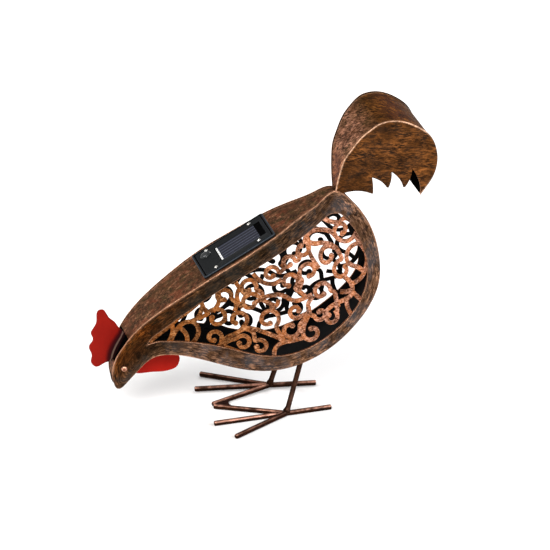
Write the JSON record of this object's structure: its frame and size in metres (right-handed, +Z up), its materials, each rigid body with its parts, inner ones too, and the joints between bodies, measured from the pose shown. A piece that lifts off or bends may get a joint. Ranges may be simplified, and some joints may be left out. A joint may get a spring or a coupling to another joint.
{
  "type": "solar garden hen",
  "caption": "Garden hen of copper-brushed sheet steel with scrollwork sides, pecking at the ground on rod legs, with a solar light unit let into its back.",
  "frame": {"origin": "on the ground under the middle of the bounding box", "axes": "+X towards the tail, the beak points to -X; -Y is the hen's left side; +Z up"},
  "size_m": [0.343, 0.1634, 0.3053],
  "materials": {
    "brushed_copper": "dry-brushed copper over black powder coat",
    "bright_copper": "dry-brushed copper over black powder coat, brushed most heavily",
    "bronze_rod": "dark bronze with copper streaks",
    "red_paint": "brick red paint with dark patches",
    "black_plastic": "satin moulded",
    "black_rubber": "matt",
    "cell": "clear resin over dark blue cells",
    "screw_steel": "plated"
  },
  "bodies": {
    "root": {"body_band": "brushed_copper", "comb": "red_paint", "left_eye": "bright_copper", "left_filigree": "bright_copper", "left_inner_toe": "bronze_rod", "left_leg": "bronze_rod", "left_middle_toe": "bronze_rod", "left_outer_toe": "bronze_rod", "left_side_plate": "brushed_copper", "left_tail_plate": "brushed_copper", "push_button": "black_rubber", "right_eye": "bright_copper", "right_filigree": "bright_copper", "right_inner_toe": "bronze_rod", "right_leg": "bronze_rod", "right_middle_toe": "bronze_rod", "right_outer_toe": "bronze_rod", "right_side_plate": "brushed_copper", "right_tail_plate": "brushed_copper", "solar_cell": "cell", "solar_housing": "black_plastic", "solar_screw_1": "screw_steel", "solar_screw_2": "screw_steel", "solar_screw_3": "screw_steel", "solar_screw_4": "screw_steel", "tail_band": "brushed_copper", "toe_weld": "bronze_rod", "wattle": "red_paint"}
  },
  "joints": []
}
